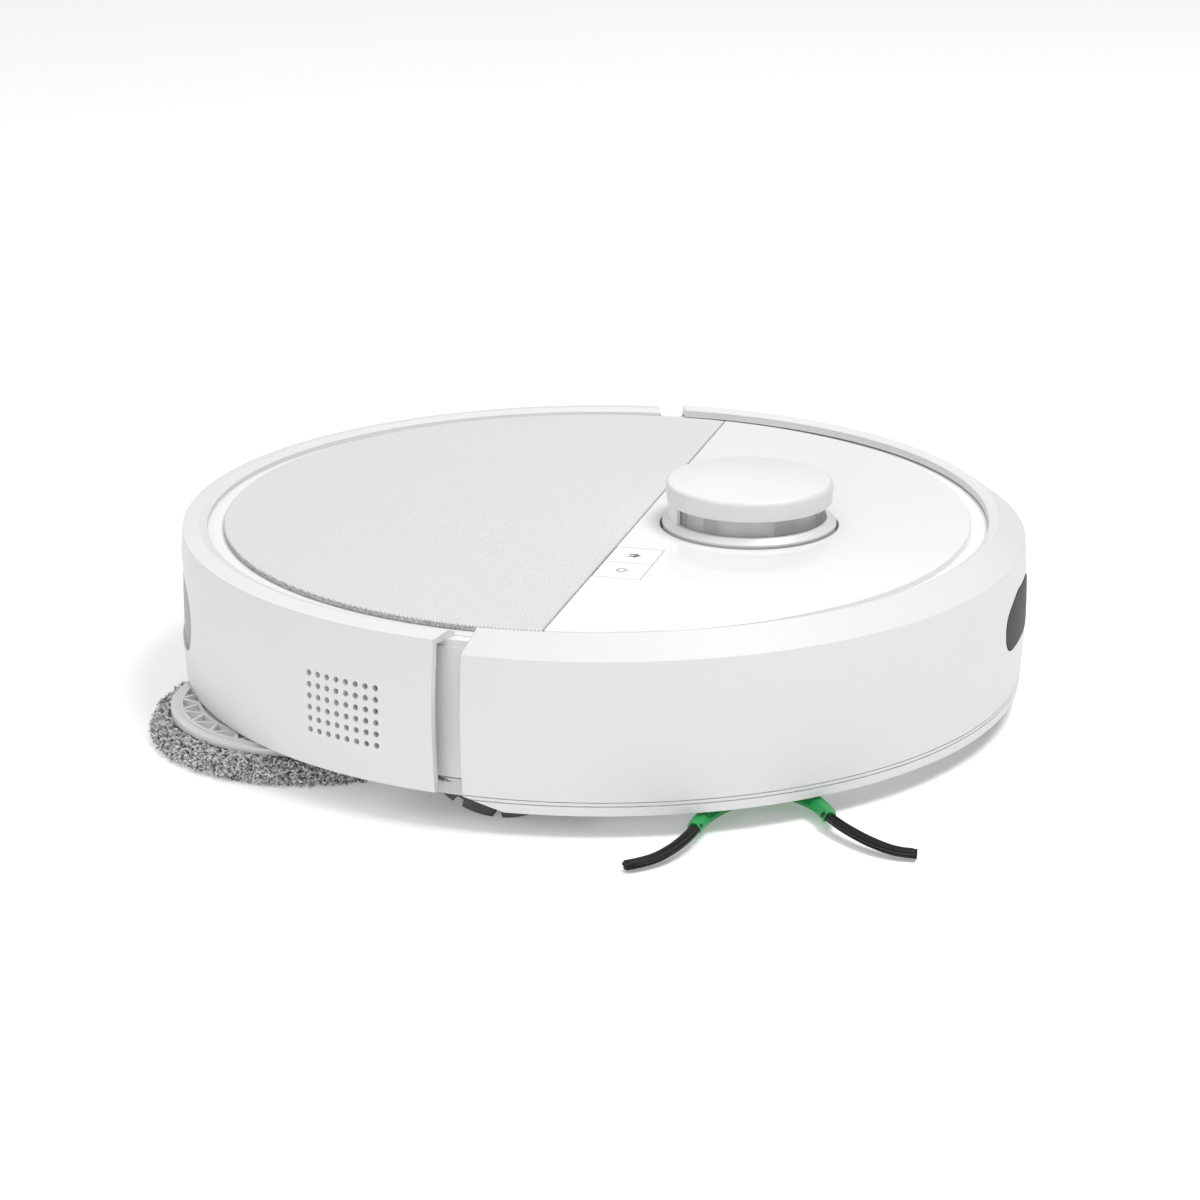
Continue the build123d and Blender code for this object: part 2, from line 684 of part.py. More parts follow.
def lidar_rotor():
    drum = disc(27.5, 60, 79, TURRET_X) - disc(25.5, 61.5, 77.5, TURRET_X)
    hub = disc(10, 48, 61, TURRET_X) + disc(14, 49.5, 54.5, TURRET_X)
    rotor = drum + hub - disc(6 + RUNNING_CLEARANCE, 40, 57.5, TURRET_X)
    for rod in lens_rods(0.3, 18, 40):
        rotor -= rod
    return rotor


def lidar_lenses():
    lenses = Part()
    for rod in lens_rods(0.2, 20, 26.5):
        lenses += rod & disc(26.9, 60, 80, TURRET_X)
    return lenses


def turret_housing():
    # A domed cap on two pillars over a collar, with a skirt that runs down into the dish.
    dome_edge, dome_edge_z, dome_z = 32.8, 85.1, 86.7
    dome_radius = (dome_edge ** 2 + (dome_z - dome_edge_z) ** 2) / (2 * (dome_z - dome_edge_z))
    half = dome_edge / 2
    half_z = dome_z - dome_radius + (dome_radius ** 2 - half ** 2) ** 0.5
    profile = [(0, 84.6), (30.6, 83.4), (32.0, 82.2), (31.8, 78.6), (28, 78.6), (28, 76.5), (34.0, 76.5)]
    inner = Polyline(*[(x, 0, z) for x, z in profile])
    band = Line((34.0, 0, 76.5), (34.5, 0, 82.6))
    shoulder = ThreePointArc((34.5, 0, 82.6), (34.1, 0, 84.2), (dome_edge, 0, dome_edge_z))
    dome = ThreePointArc((dome_edge, 0, dome_edge_z), (half, 0, half_z), (0, 0, dome_z))
    centre = Line((0, 0, dome_z), (0, 0, 84.6))
    cap = revolve(make_face([*inner.edges(), band, shoulder, dome, centre]), Axis.Z)
    collar = cone_between((35.9, 67.4, 0), (33.4, 69.4, 0)) + disc(35.9, 66.6, 67.4)
    collar += disc(35.6, 57, 67)
    pillars = ring(31.8, 33.3, 68, 77)
    pillar_arc = prism([(0, 0), on_circle(60, -12), on_circle(60, 12)], 60, 80)
    housing = cap + (collar - disc(33.4, 50, 68) - disc(31.8, 60, 80))
    for angle in PILLAR_ANGLES:
        housing += pillars & (Rot(0, 0, angle) * pillar_arc)
    for angle in SPRING_ANGLES:
        lug = block(28.5, 34, -2.6, 2.6, 57, 59)
        housing += Rot(0, 0, angle) * lug
    return Pos(TURRET_X, 0, 0) * housing


def turret_window():
    return ring(29.9, 31.6, 68.0, 76.5, TURRET_X)


def turret_springs():
    floor = TURRET_DISH_FLOOR + 2
    spring = coil_spring(1.9, 0.35, 56.6 - floor - 0.4, 5)
    springs = Part()
    for angle in SPRING_ANGLES:
        springs += Pos(TURRET_X, 0, floor + 0.4) * Rot(0, 0, angle) * Pos(31.2, 0, 0) * spring
    return springs


# Drive modules, built for the left side and mirrored for the right
TREAD_LUGS = 13


def sided(shape, side):
    return shape if side > 0 else mirror(shape, Plane.XZ)


def drive_gearbox(side):
    px, pz = ARM_PIVOT
    y0, y1 = 112.0, 134.0
    length = hypot(px, pz - WHEEL_Z)
    turn = degrees(atan2(pz - WHEEL_Z, px))
    slot = Rot(0, 0, turn) * SlotCenterToCenter(length, 28)
    plane = Plane(origin=(px / 2, y0, (pz + WHEEL_Z) / 2), x_dir=(1, 0, 0), z_dir=(0, -1, 0))
    body = extrude(plane * slot, -(y1 - y0))
    body += rod_y(11, 24, 31, 99, 113)
    body += rod_y(3, px, pz, 105.5, 139)
    body += rod_y(3, 0, WHEEL_Z, y1 - 1, 151)
    return sided(body, side)


def wheel_hub(side):
    y0, y1 = WHEEL_INNER_Y + 1.5, WHEEL_OUTER_Y - 1.5
    hub = rod_y(27.5, 0, WHEEL_Z, y0, y1)
    hub -= rod_y(24, 0, WHEEL_Z, y1 - 4, y1 + 1) - rod_y(8, 0, WHEEL_Z, y1 - 5, y1 + 2)
    for i in range(5):
        hole = Pos(0, 0, WHEEL_Z) * Rot(0, i * 72, 0) * Pos(16, 0, 0) * rod_y(4.5, 0, 0, y0 - 1, y1 + 1)
        hub -= hole
    return sided(hub - rod_y(3 + RUNNING_CLEARANCE, 0, WHEEL_Z, y0 - 1, 151.5), side)


def tyre(side):
    y0, y1 = WHEEL_INNER_Y, WHEEL_OUTER_Y
    middle = (y0 + y1) / 2
    carcass = rod_y(31.2, 0, WHEEL_Z, y0, y1)
    pitch = 360 / TREAD_LUGS
    tread = rod_y(WHEEL_RADIUS, 0, WHEEL_Z, y0, y1)
    lugs = []
    for row, (low, high) in enumerate(((y0, middle - 0.6), (middle + 0.6, y1))):
        for i in range(TREAD_LUGS):
            lug = block(29, 36, low, high, -6.2, 6.2)
            lugs.append(Pos(0, 0, WHEEL_Z) * Rot(0, 90 + (i + row / 2) * pitch, 0) * lug)
    shape = carcass + ((Part() + lugs) & tread)
    return sided(shape - rod_y(27.5, 0, WHEEL_Z, y0 - 1, y1 + 1), side)


# Caster
def caster_fork():
    wheel_x = CASTER_X - CASTER_TRAIL
    wheel_z = FLOOR + CASTER_RADIUS
    fork = disc(21, 19.6, 22.0, CASTER_X) + disc(4, 21, 34, CASTER_X)
    for y0, y1 in ((-11, -8), (8, 11)):
        leg = block(wheel_x - 5, wheel_x + 5, y0, y1, wheel_z, 20) + rod_y(5, wheel_x, wheel_z, y0, y1)
        fork += leg
    return fork + rod_y(2, wheel_x, wheel_z, -10, 10)


def caster_wheel():
    wheel_x = CASTER_X - CASTER_TRAIL
    wheel_z = FLOOR + CASTER_RADIUS
    wheel = rod_y(CASTER_RADIUS, wheel_x, wheel_z, -7, 7)
    wheel = fillet(wheel.edges().filter_by(GeomType.CIRCLE), 3)
    return wheel - rod_y(2 + RUNNING_CLEARANCE, wheel_x, wheel_z, -8, 8)


# Main brush
def brush_housing():
    x0, x1, half = ROLLER_X - 22, ROLLER_X + 22, ROLLER_HALF + 4
    tunnel = rod_y(20.2, ROLLER_X, ROLLER_Z, -half + 3, half - 3)
    tunnel += block(ROLLER_X - 20.2, ROLLER_X + 20.2, -half + 3, half - 3, -1, ROLLER_Z)
    housing = block(x0, x1, -half, half, BASE_THICKNESS, 36) - tunnel
    housing -= block(x0 - 1, x0 + 12, -28, 28, 22, 32)
    housing -= rod_y(3 + RUNNING_CLEARANCE, ROLLER_X, ROLLER_Z, -half + 0.5, half - 0.5)
    gear_case = block(38, 68, half, half + 7, 5, 30)
    return housing + gear_case + rod_y(10, 58, 18, half + 6, 104)


def brush_guard():
    guard = block(33.3, 70.7, -79.2, 79.2, 0, BASE_THICKNESS - 0.2)
    return guard - block(37, 67, -76.5, 76.5, -1, 5)


def main_roller():
    blade_count = 6
    roller = rod_y(9, ROLLER_X, ROLLER_Z, -ROLLER_HALF, ROLLER_HALF)
    blade = block(8, ROLLER_RADIUS, -ROLLER_HALF + 2, ROLLER_HALF - 2, -1, 1)
    for i in range(blade_count):
        roller += Pos(ROLLER_X, 0, ROLLER_Z) * Rot(0, i * 360 / blade_count + 30, 0) * blade
    end = ROLLER_HALF + 3.4
    return roller + rod_y(3, ROLLER_X, ROLLER_Z, -end, end)


# Side brush
ARM_TIPS = ((77.8, -163.0), (124.6, -139.5))
ARM_BOWS = (6.0, -5.0)
TUFT_TIPS = ((58.2, -198.5), (162.6, -155.5))


def side_brush_gearbox():
    x, y = SIDE_BRUSH
    body = disc(9.5, BASE_THICKNESS + 0.1, 24, x, y) + disc(11, BASE_THICKNESS + 0.1, 34, 84, -100)
    body += capsule((x, y), (84, -100), 8, 10, 24)
    return body - disc(3 + RUNNING_CLEARANCE, 0, 15, x, y)


def side_brush_arms():
    x, y = SIDE_BRUSH
    brush = disc(8.5, -4.6, -0.8, x, y) + disc(3, -1, 14.5, x, y)
    for (tip_x, tip_y), bow in zip(ARM_TIPS, ARM_BOWS):
        length = hypot(tip_x - x, tip_y - y)
        ux, uy = (tip_x - x) / length, (tip_y - y) / length
        side_x, side_y = -uy, ux
        mid_x = x + ux * length / 2 - side_x * bow
        mid_y = y + uy * length / 2 - side_y * bow
        root, tip = 4.5, 3.1

        def edge(sign):
            start = (x + side_x * root * sign, y + side_y * root * sign)
            middle = (mid_x + side_x * 4 * sign, mid_y + side_y * 4 * sign)
            end = (tip_x + side_x * tip * sign, tip_y + side_y * tip * sign)
            return ThreePointArc(start, middle, end)

        left, right = edge(1), edge(-1)
        outline = make_face([left, Line(left @ 1, right @ 1), right, Line(right @ 0, left @ 0)])
        arm = extrude(Pos(0, 0, -4.6) * outline, 3.4)
        ridge = arm.edges().group_by(Axis.Z)[-1].filter_by(GeomType.CIRCLE)
        brush += chamfer(ridge, 1.9)
    return brush


def side_brush_bristles():
    tufts = Part()
    for (x0, y0), (x1, y1) in zip(ARM_TIPS, TUFT_TIPS):
        start, end = Vector(x0, y0, -3.4), Vector(x1, y1, -6.4)
        direction = (end - start).normalized()
        start = start + direction * 0.8
        sections = [Plane(origin=p, z_dir=direction) * Circle(r) for p, r in ((start, 2.1), (end, 2.4))]
        tufts += loft(sections, ruled=True)
    return tufts


# Mops
TRUSS_PAIRS = 24


def truss_plate():
    # Disc with a zigzag band of triangular pockets near its rim and a spindle on its centre.
    plate = disc(MOP_RING_RADIUS, 0.9, 3.2) + ring(55.2, MOP_RING_RADIUS, 2, 3.6)
    plate += ring(46.2, 55.2, 3, 4.2) + disc(14, 3, 4.2) + disc(5, 4, 19.5)
    step = 360 / TRUSS_PAIRS
    low, high, half = 47.6, 53.8, 0.36 * step
    pockets = []
    for i in range(TRUSS_PAIRS):
        angle = i * step
        inward = [on_circle(low, angle - half), on_circle(low, angle + half), on_circle(high, angle)]
        pockets.append(prism(inward, 2.0, 5))
        angle += step / 2
        outward = [on_circle(high, angle - half), on_circle(high, angle + half), on_circle(low, angle)]
        pockets.append(prism(outward, 2.0, 5))
    return plate - pockets


def mop_plate(centre):
    return Pos(*centre, 0) * truss_plate()


def mop_pad(centre):
    pad = disc(MOP_RADIUS, FLOOR, 0.9)
    pad = fillet(pad.edges().group_by(Axis.Z)[0], 2.5)
    pad = fillet(pad.edges().group_by(Axis.Z)[-1], 2.5)
    return Pos(*centre, 0) * pad


def left_mop_gearbox():
    x, y = LEFT_MOP
    body = disc(15, REAR_PLATE_Z + BASE_THICKNESS, 28, x, y) + disc(12, 27, 45.5, x, y)
    return body - disc(5 + RUNNING_CLEARANCE, 0, 20, x, y)


def right_mop_gearbox():
    # Swing arm from its pivot to the mop spindle, with the motor standing over the spindle.
    arm = capsule(MOP_PIVOT, RIGHT_MOP, 12, 8.6, 20) + disc(12, 19, 45.5, *RIGHT_MOP)
    arm -= disc(4 + RUNNING_CLEARANCE, 0, 24.3, *MOP_PIVOT)
    return arm - disc(5 + RUNNING_CLEARANCE, 0, 19.8, *RIGHT_MOP)


PARTS = {
    "base_shell": base_shell,
    "chassis_frame": chassis_frame,
    "top_frame": top_frame,
    "bin_bay": bin_bay,
    "deck_panel": deck_panel,
    "rear_shell": rear_shell,
    "rear_window": rear_window,
    "bumper_shell": bumper_shell,
    "bumper_trim": bumper_trim,
    "front_window": front_window,
    "bumper_springs": bumper_springs,
    "lid_plate": lid_plate,
    "lid_inlay": lid_inlay,
    "lid_hinges": lid_hinges,
    "home_key": lambda: key(1),
    "clean_key": lambda: key(0),
    "key_switches": key_switches,
    "turret_housing": turret_housing,
    "turret_window": turret_window,
    "turret_springs": turret_springs,
    "lidar_base": lidar_base,
    "lidar_rotor": lidar_rotor,
    "lidar_lenses": lidar_lenses,
    "lidar_pulley": lidar_pulley,
    "lidar_belt": lidar_belt,
    "dust_bin": dust_bin,
    "bin_cover": bin_cover,
    "bin_filter": bin_filter,
    "water_tank": water_tank,
    "tank_cover": tank_cover,
    "suction_duct": suction_duct,
    "fan_housing": fan_housing,
    "fan_impeller": fan_impeller,
    "battery_pack": battery_pack,
    "battery_cover": battery_cover,
    "circuit_boards": circuit_boards,
    "speaker": speaker,
    "charge_contacts": charge_contacts,
    "cliff_windows": cliff_windows,
    "case_screws": case_screws,
    "left_drive_gearbox": lambda: drive_gearbox(1),
    "left_wheel_hub": lambda: wheel_hub(1),
    "left_tyre": lambda: tyre(1),
    "right_drive_gearbox": lambda: drive_gearbox(-1),
    "right_wheel_hub": lambda: wheel_hub(-1),
    "right_tyre": lambda: tyre(-1),
    "caster_fork": caster_fork,
    "caster_wheel": caster_wheel,
    "brush_housing": brush_housing,
    "brush_guard": brush_guard,
    "main_roller": main_roller,
    "side_brush_gearbox": side_brush_gearbox,
    "side_brush_arms": side_brush_arms,
    "side_brush_bristles": side_brush_bristles,
    "left_mop_gearbox": left_mop_gearbox,
    "left_mop_plate": lambda: mop_plate(LEFT_MOP),
    "left_mop_pad": lambda: mop_pad(LEFT_MOP),
    "right_mop_gearbox": right_mop_gearbox,
    "right_mop_plate": lambda: mop_plate(RIGHT_MOP),
    "right_mop_pad": lambda: mop_pad(RIGHT_MOP),
}


os.makedirs("parts", exist_ok=True)
for name, build in PARTS.items():
    export_step(build(), f"parts/{name}.step")
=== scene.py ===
import math
import random

import bpy
from mathutils import Matrix, Vector


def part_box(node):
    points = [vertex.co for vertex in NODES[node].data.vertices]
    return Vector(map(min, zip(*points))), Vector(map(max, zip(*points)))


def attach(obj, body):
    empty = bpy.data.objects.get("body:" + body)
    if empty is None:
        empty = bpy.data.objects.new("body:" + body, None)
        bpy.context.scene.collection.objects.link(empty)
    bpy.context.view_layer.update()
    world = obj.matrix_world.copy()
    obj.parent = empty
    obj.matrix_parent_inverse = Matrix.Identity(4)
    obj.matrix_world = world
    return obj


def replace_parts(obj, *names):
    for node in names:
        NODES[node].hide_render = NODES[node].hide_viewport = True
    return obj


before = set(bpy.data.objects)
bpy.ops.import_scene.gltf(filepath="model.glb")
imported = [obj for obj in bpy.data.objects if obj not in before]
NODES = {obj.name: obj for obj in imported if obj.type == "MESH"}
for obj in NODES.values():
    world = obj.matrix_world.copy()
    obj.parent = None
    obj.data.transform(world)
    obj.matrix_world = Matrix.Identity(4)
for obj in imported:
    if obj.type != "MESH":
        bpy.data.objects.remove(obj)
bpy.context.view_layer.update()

MM = 0.001
RNG = random.Random(7)


# ---------------------------------------------------------------- materials
class Graph:
    """A small helper for building node materials."""

    def __init__(self, name):
        self.material = bpy.data.materials.new(name)
        self.material.use_nodes = True
        self.tree = self.material.node_tree
        self.shader = self.tree.nodes["Principled BSDF"]
        self.coords = self.tree.nodes.new("ShaderNodeTexCoord").outputs["Object"]

    def node(self, kind, inputs=(), **settings):
        made = self.tree.nodes.new(kind)
        for key, value in settings.items():
            setattr(made, key, value)
        for key, value in dict(inputs).items():
            self.put(made.inputs[key], value)
        return made

    def put(self, socket, value):
        if isinstance(value, bpy.types.NodeSocket):
            self.tree.links.new(value, socket)
        else:
            socket.default_value = value

    def set(self, **values):
        for key, value in values.items():
            self.put(self.shader.inputs[key.replace("_", " ")], value)

    def noise(self, scale, detail=3.0, roughness=0.5, coords=None):
        made = self.node("ShaderNodeTexNoise", {"Scale": scale, "Detail": detail, "Roughness": roughness})
        self.put(made.inputs["Vector"], coords or self.coords)
        return made.outputs["Fac"]

    def cells(self, scale, feature="F1", coords=None):
        made = self.node("ShaderNodeTexVoronoi", {"Scale": scale}, feature=feature)
        self.put(made.inputs["Vector"], coords or self.coords)
        return made

    def math(self, operation, a, b=0.0, clamp=False):
        made = self.node("ShaderNodeMath", {0: a, 1: b}, operation=operation, use_clamp=clamp)
        return made.outputs[0]

    def ramp(self, factor, stops):
        made = self.node("ShaderNodeValToRGB", {"Fac": factor})
        elements = made.color_ramp.elements
        while len(elements) < len(stops):
            elements.new(0.5)
        for element, (place, colour) in zip(elements, stops):
            element.position = place
            element.color = (*colour, 1.0) if len(colour) == 3 else colour
        return made.outputs["Color"]

    def spread(self, factor, low, high):
        made = self.node("ShaderNodeMapRange", {"Value": factor, "To Min": low, "To Max": high})
        return made.outputs["Result"]

    def bump(self, height, distance, strength=1.0, normal=None):
        made = self.node("ShaderNodeBump", {"Height": height, "Distance": distance, "Strength": strength})
        if normal is not None:
            self.put(made.inputs["Normal"], normal)
        return made.outputs["Normal"]

    def rounded(self, radius):
        return self.node("ShaderNodeBevel", {"Radius": radius}, samples=4).outputs["Normal"]


def tint(colour, factor):
    return tuple(min(1.0, c * factor) for c in colour)


def plastic(name, colour, roughness=0.35, spread=0.05, grain=0.02, grain_scale=2600,
            coat=0.0, edge=0.0, **more):
    """Moulded plastic: faint clouding in the colour, a fine grain and uneven gloss."""
    g = Graph(name)
    cloud = g.noise(16, 4)
    g.set(Base_Color=g.ramp(cloud, [(0.3, tint(colour, 1 - spread)), (0.7, tint(colour, 1 + spread / 2))]))
    smudge = g.noise(42, 5, 0.6)
    g.set(Roughness=g.spread(smudge, roughness * 0.85, roughness * 1.15))
    normal = g.rounded(edge) if edge else None
    g.set(Normal=g.bump(g.noise(grain_scale, 2), grain * MM, 0.6, normal))
    if coat:
        g.set(Coat_Weight=coat, Coat_Roughness=0.08)
    g.set(**more)
    return g.material


def metal(name, colour, roughness=0.3, streak=(40, 40, 1200), **more):
    g = Graph(name)
    stretched = g.node("ShaderNodeMapping", {"Vector": g.coords, "Scale": streak}).outputs["Vector"]
    lines = g.noise(1.0, 3, coords=stretched)
    g.set(Base_Color=g.ramp(lines, [(0.3, tint(colour, 0.86)), (0.7, tint(colour, 1.08))]), Metallic=1.0)
    g.set(Roughness=g.spread(lines, roughness * 0.75, roughness * 1.3))
    g.set(Normal=g.bump(lines, 0.02 * MM, 0.5), **more)
    return g.material


def rubber(name, colour, roughness=0.62):
    g = Graph(name)
    dust = g.noise(90, 6, 0.65)
    g.set(Base_Color=g.ramp(dust, [(0.35, colour), (0.75, tint(colour, 1.7))]))
    g.set(Roughness=g.spread(dust, roughness * 0.85, min(1.0, roughness * 1.2)))
    g.set(Normal=g.bump(g.noise(1500, 3), 0.06 * MM, 0.7, g.rounded(0.4 * MM)))
    return g.material


def clear(name, colour, alpha, roughness=0.12):
    g = Graph(name)
    haze = g.noise(60, 4)
    g.set(Base_Color=g.ramp(haze, [(0.3, tint(colour, 0.94)), (0.7, colour)]))
    g.set(Roughness=g.spread(haze, roughness * 0.7, roughness * 1.4), Alpha=alpha)
    g.set(Normal=g.bump(g.noise(900, 2), 0.01 * MM, 0.4))
    return g.material


def weave(name, light, dark, shaded_side_colour):
    """A moulded linen pattern: two families of diagonal threads, with a darker mottled grey painted as shade
    where it turns down at the side.
    """
    g = Graph(name)
    parts = g.node("ShaderNodeSeparateXYZ", {"Vector": g.coords})
    x, y = parts.outputs["X"], parts.outputs["Y"]
    wobble = g.math("MULTIPLY", g.math("SUBTRACT", g.noise(210, 2), 0.5), 0.9 * MM)
    threads = []
    for u in (g.math("ADD", x, y), g.math("SUBTRACT", x, y)):
        moved = g.math("ADD", u, wobble)
        phase = g.math("MULTIPLY", moved, 2 * math.pi / (1.45 * MM))
        wave = g.node("ShaderNodeMath", {0: g.math("SINE", phase), 1: 0.5, 2: 0.5}, operation="MULTIPLY_ADD")
        threads.append(wave.outputs[0])
    over = g.math("MULTIPLY", threads[0], threads[1])
    slubs = g.math("MULTIPLY", g.noise(520, 3, 0.6), over)
    height = g.math("ADD", over, g.math("MULTIPLY", slubs, 0.6))
    # Faces that turn down at the side get a darker mottled grey: painted shade on the side wall.
    facing = g.node("ShaderNodeSeparateXYZ", {"Vector": g.node("ShaderNodeNewGeometry").outputs["Normal"]})
    upright = g.math("SUBTRACT", 1.0, g.math("ABSOLUTE", facing.outputs["Z"]), clamp=True)
    top = g.ramp(height, [(0.02, dark), (0.34, tint(light, 0.93)), (0.8, light)])
    speck = g.noise(900, 4, 0.7)
    side = g.ramp(speck, [(0.36, tint(shaded_side_colour, 0.6)), (0.62, tint(shaded_side_colour, 1.35))])
    mix = g.node("ShaderNodeMix", data_type="RGBA")
    g.put(mix.inputs["Factor"], g.ramp(upright, [(0.25, (0, 0, 0)), (0.6, (1, 1, 1))]))
    g.put(mix.inputs[6], top)
    g.put(mix.inputs[7], side)
    g.set(Base_Color=mix.outputs[2], Roughness=0.62)
    g.set(Normal=g.bump(height, 0.14 * MM, 0.8))
    return g.material


def fibre_specks(name, colours, size=1.1 * MM, roughness=0.95, sheen=0.3):
    """Curly microfibre: each small cell of pile takes one of several greys."""
    g = Graph(name)
    random_grey = g.cells(1 / size)
    pick = g.node("ShaderNodeSeparateColor", {"Color": random_grey.outputs["Color"]}).outputs["Red"]
    step = 1.0 / len(colours)
    ramp = g.ramp(pick, [(i * step, c) for i, c in enumerate(colours)])
    ramp.node.color_ramp.interpolation = "CONSTANT"
    g.set(Base_Color=ramp, Roughness=roughness, Sheen_Weight=sheen, Specular_IOR_Level=0.2)
    g.set(Normal=g.bump(g.noise(3200, 3), 0.15 * MM, 0.8))
    return g.material


def strands(name, colour, roughness=0.4):
    g = Graph(name)
    fine = g.noise(1400, 3)
    g.set(Base_Color=g.ramp(fine, [(0.35, colour), (0.7, tint(colour, 2.2))]))
    g.set(Roughness=g.spread(fine, roughness * 0.8, roughness * 1.3), Specular_IOR_Level=0.5)
    return g.material


MATERIALS = {
    "deck_white": plastic("deck_white", (0.88, 0.88, 0.875), 0.07, 0.012, 0.001, edge=0.25 * MM,
                          Specular_IOR_Level=0.6),
    "shell_white": plastic("shell_white", (0.765, 0.765, 0.76), 0.4, 0.012, 0.01, edge=0.45 * MM,
                           Specular_IOR_Level=0.18),
    "turret_white": plastic("turret_white", (0.80, 0.80, 0.795), 0.3, 0.012, 0.004),
    "frame_white": plastic("frame_white", (0.82, 0.82, 0.815), 0.42, 0.02, 0.02, edge=0.3 * MM),
    "base_grey": plastic("base_grey", (0.62, 0.62, 0.62), 0.5, 0.05, 0.05, 1300, edge=0.3 * MM),
    # The inlay's last colour is painted shade for its down-turned side.
    "inlay": weave("inlay", (0.97, 0.97, 0.96), (0.46, 0.46, 0.46), (0.50, 0.50, 0.50)),
    "window_black": plastic("window_black", (0.018, 0.019, 0.018), 0.5, 0.1, 0.004, edge=0.3 * MM,
                            Specular_IOR_Level=0.15),
    # Dark grey painted shade: the rear window's colour stands for the shade inside the rear recess.
    "recess_grey": plastic("recess_grey", (0.10, 0.103, 0.103), 0.3, 0.08, 0.01, edge=0.3 * MM),
    "smoke_clear": clear("smoke_clear", (0.90, 0.90, 0.90), 0.30),
    "bin_smoke": clear("bin_smoke", (0.16, 0.17, 0.18), 0.55),
    "tank_clear": clear("tank_clear", (0.55, 0.62, 0.68), 0.4),
    "mechanism_black": plastic("mechanism_black", (0.035, 0.036, 0.038), 0.5, 0.25, 0.05, 1300,
                               edge=0.3 * MM),
    "motor_grey": plastic("motor_grey", (0.22, 0.225, 0.23), 0.45, 0.12, 0.04, 1500, edge=0.3 * MM),
    "steel": metal("steel", (0.6, 0.6, 0.61), 0.28),
    "contact": metal("contact", (0.78, 0.74, 0.66), 0.18, (60, 900, 60)),
    "sensor_dark": plastic("sensor_dark", (0.02, 0.012, 0.016), 0.08, 0.2, 0.002, coat=0.6),
    "filter": fibre_specks("filter", [(0.62, 0.63, 0.6), (0.7, 0.7, 0.68), (0.55, 0.56, 0.54)],
                           0.5 * MM, 0.9),
    "rubber_black": rubber("rubber_black", (0.03, 0.03, 0.03)),
    "tread": rubber("tread", (0.075, 0.075, 0.073), 0.7),
    "roller_rubber": rubber("roller_rubber", (0.07, 0.07, 0.075), 0.5),
    "board": plastic("board", (0.02, 0.13, 0.06), 0.4, 0.3, 0.05, 900),
    "battery": plastic("battery", (0.03, 0.035, 0.05), 0.35, 0.2, 0.02),
    "arm_green": plastic("arm_green", (0.006, 0.30, 0.065), 0.3, 0.06, 0.01, edge=0.12 * MM),
    "laser_grey": plastic("laser_grey", (0.86, 0.86, 0.855), 0.4, 0.05, 0.01, edge=0.4 * MM),
    "lens": plastic("lens", (0.30, 0.30, 0.305), 0.1, 0.1, 0.002, edge=0.4 * MM, coat=0.7),
    "icon_grey": plastic("icon_grey", (0.16, 0.16, 0.16), 0.5, 0.1, 0.01),
    "bristle": strands("bristle", (0.012, 0.012, 0.012)),
    "pile": fibre_specks("pile", [(0.72, 0.73, 0.73), (0.5, 0.51, 0.52), (0.8, 0.8, 0.8), (0.33, 0.34, 0.35),
                                  (0.62, 0.62, 0.63), (0.12, 0.12, 0.125)]),
    "pile_under": fibre_specks("pile_under", [(0.16, 0.16, 0.165), (0.26, 0.265, 0.27), (0.1, 0.1, 0.105)],
                               0.8 * MM),
}

FINISHES = {
    "deck_white": ["deck_panel", "home_key", "clean_key"],
    "shell_white": ["bumper_shell", "bumper_trim", "rear_shell"],
    "turret_white": ["turret_housing", "left_mop_plate", "right_mop_plate"],
    "frame_white": ["top_frame", "chassis_frame", "bin_bay", "speaker"],
    "base_grey": ["base_shell", "battery_cover"],
    "inlay": ["lid_inlay", "lid_plate"],
    "window_black": ["front_window"],
    "recess_grey": ["rear_window"],
    "smoke_clear": ["turret_window"],
    "bin_smoke": ["dust_bin"],
    "tank_clear": ["water_tank"],
    "mechanism_black": ["lidar_base", "fan_housing", "left_drive_gearbox", "right_drive_gearbox",
                        "caster_fork", "side_brush_gearbox", "left_mop_gearbox", "right_mop_gearbox"],
    "motor_grey": ["lidar_pulley", "bin_cover", "tank_cover", "fan_impeller", "left_wheel_hub",
                   "right_wheel_hub", "brush_housing", "brush_guard"],
    "steel": ["bumper_springs", "turret_springs", "lid_hinges", "case_screws"],
    "contact": ["charge_contacts"],
    "sensor_dark": ["cliff_windows"],
    "filter": ["bin_filter"],
    "rubber_black": ["lidar_belt", "suction_duct", "caster_wheel"],
    "tread": ["left_tyre", "right_tyre"],
    "roller_rubber": ["main_roller"],
    "board": ["key_switches", "circuit_boards"],
    "battery": ["battery_pack"],
    "arm_green": ["side_brush_arms"],
    "laser_grey": ["lidar_rotor"],
    "lens": ["lidar_lenses"],
}


def paint(piece, material):
    if not piece.data.materials:
        piece.data.materials.append(None)
    for place in piece.material_slots:
        place.material = MATERIALS[material]


for finish, names in FINISHES.items():
    for name in names:
        paint(NODES[name], finish)


# ---------------------------------------------------------------- mesh helpers
def make_piece(name, verts, faces, material, body, smooth=True):
    mesh = bpy.data.meshes.new(name)
    mesh.from_pydata([tuple(v) for v in verts], [], faces)
    mesh.validate()
    piece = bpy.data.objects.new(name, mesh)
    bpy.context.scene.collection.objects.link(piece)
    if smooth:
        mesh.shade_smooth()
    paint(piece, material)
    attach(piece, body)
    return piece


